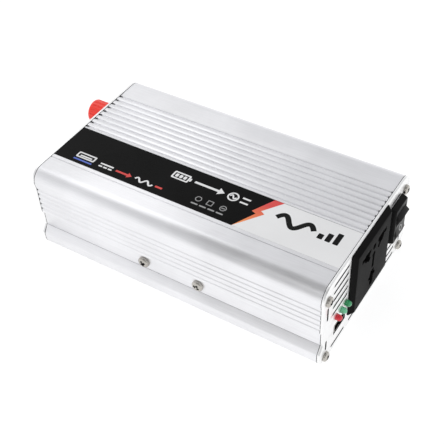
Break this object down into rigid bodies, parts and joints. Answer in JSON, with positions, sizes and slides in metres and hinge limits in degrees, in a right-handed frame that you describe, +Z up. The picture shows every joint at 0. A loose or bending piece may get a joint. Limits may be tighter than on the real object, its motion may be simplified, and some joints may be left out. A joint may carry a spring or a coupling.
{
  "type": "power inverter",
  "caption": "Silver box power inverter that turns car battery current into mains current, with socket, rocker switch, lamps, USB port, fan and screw terminals.",
  "frame": {"origin": "middle of the flat underside of the case, halfway between the two end panels", "axes": "+X towards the end with the mains socket, +Y towards the far long side, away from the label, +Z up"},
  "size_m": [0.229, 0.118, 0.062],
  "materials": {
    "case_aluminium": "satin silver anodised extrusion with fine lengthwise die lines",
    "panel_aluminium": "satin silver anodised plate",
    "label_film": "glossy printed polyester film",
    "nickel_steel": "bright nickel plating",
    "brass": "plain brass",
    "copper": "plain copper",
    "black_plastic": "fine grained black moulding",
    "red_plastic": "smooth red moulding",
    "white_plastic": "white moulding",
    "green_lamp": "tinted clear lamp resin",
    "red_lamp": "tinted clear lamp resin",
    "circuit_board": "green solder resist on glass fibre board",
    "insulating_film": "matt insulating film",
    "ferrite": "dull dark ferrite",
    "winding_tape": "yellow tape over copper wire",
    "capacitor_sleeve": "shrunk plastic sleeve",
    "transistor_mould": "moulded epoxy on a metal tab",
    "clamp_aluminium": "plain aluminium bar"
  },
  "bodies": {
    "case": {"top_cover": "case_aluminium", "base_tray": "case_aluminium", "ac_end_panel": "panel_aluminium", "dc_end_panel": "panel_aluminium", "label_sticker": "label_film", "ac_panel_screw_lower_near": "nickel_steel", "ac_panel_screw_lower_far": "nickel_steel", "ac_panel_screw_upper_near": "nickel_steel", "ac_panel_screw_upper_far": "nickel_steel", "dc_panel_screw_lower_near": "nickel_steel", "dc_panel_screw_lower_far": "nickel_steel", "dc_panel_screw_upper_near": "nickel_steel", "dc_panel_screw_upper_far": "nickel_steel", "side_screw_near_1": "nickel_steel", "side_screw_near_2": "nickel_steel", "side_screw_far_1": "nickel_steel", "side_screw_far_2": "nickel_steel", "fan_screw_1": "nickel_steel", "fan_screw_2": "nickel_steel", "fan_screw_3": "nickel_steel", "fan_screw_4": "nickel_steel", "usb_shell": "nickel_steel", "live_contact": "brass", "neutral_contact": "brass", "earth_contact": "brass", "red_terminal_stud": "brass", "black_terminal_stud": "brass", "socket_housing": "black_plastic", "switch_frame": "black_plastic", "fan_frame": "black_plastic", "black_terminal_collar": "black_plastic", "red_terminal_collar": "red_plastic", "led_green_1": "green_lamp", "led_green_2": "green_lamp", "led_red": "red_lamp", "usb_tongue": "white_plastic", "front_board": "circuit_board", "main_board": "circuit_board", "insulating_sheet": "insulating_film", "red_bus_strap": "copper", "black_bus_strap": "copper", "transformer_core_1": "ferrite", "transformer_core_2": "ferrite", "transformer_winding_1": "winding_tape", "transformer_winding_2": "winding_tape", "input_capacitor_1": "capacitor_sleeve", "input_capacitor_2": "capacitor_sleeve", "output_capacitor": "capacitor_sleeve", "transistor_near_1": "transistor_mould", "transistor_near_2": "transistor_mould", "transistor_far_1": "transistor_mould", "transistor_far_2": "transistor_mould", "clamp_bar_near": "clamp_aluminium", "clamp_bar_far": "clamp_aluminium"},
    "switch_paddle": {"switch_paddle": "black_plastic"},
    "fan_rotor": {"fan_rotor": "black_plastic"},
    "red_washer": {"red_terminal_washer": "nickel_steel"},
    "red_knob": {"red_terminal_knob": "red_plastic"},
    "black_washer": {"black_terminal_washer": "nickel_steel"},
    "black_knob": {"black_terminal_knob": "black_plastic"}
  },
  "joints": [
    {"name": "power_switch", "type": "hinge", "parent": "case", "child": "switch_paddle", "pos_m": [0.1009, 0.0382, 0.0373], "axis": [0, 1, 0], "range_deg": [-12, 0]},
    {"name": "fan_spin", "type": "hinge", "parent": "case", "child": "fan_rotor", "pos_m": [-0.0947, -0.022, 0.031], "axis": [1, 0, 0], "continuous": true},
    {"name": "red_washer_slide", "type": "slide", "parent": "case", "child": "red_washer", "axis": [-1, 0, 0], "range_m": [0, 0.004]},
    {"name": "red_knob_turn", "type": "hinge", "parent": "red_washer", "child": "red_knob", "pos_m": [-0.114, 0.029, 0.0455], "axis": [-1, 0, 0], "range_deg": [0, 1440]},
    {"name": "black_washer_slide", "type": "slide", "parent": "case", "child": "black_washer", "axis": [-1, 0, 0], "range_m": [0, 0.004]},
    {"name": "black_knob_turn", "type": "hinge", "parent": "black_washer", "child": "black_knob", "pos_m": [-0.114, 0.029, 0.0187], "axis": [-1, 0, 0], "range_deg": [0, 1440]}
  ],
  "couplings": [
    {"joint": "red_knob_turn", "follows": "red_washer_slide", "rad_per_m": 6283.2},
    {"joint": "black_knob_turn", "follows": "black_washer_slide", "rad_per_m": 6283.2}
  ]
}
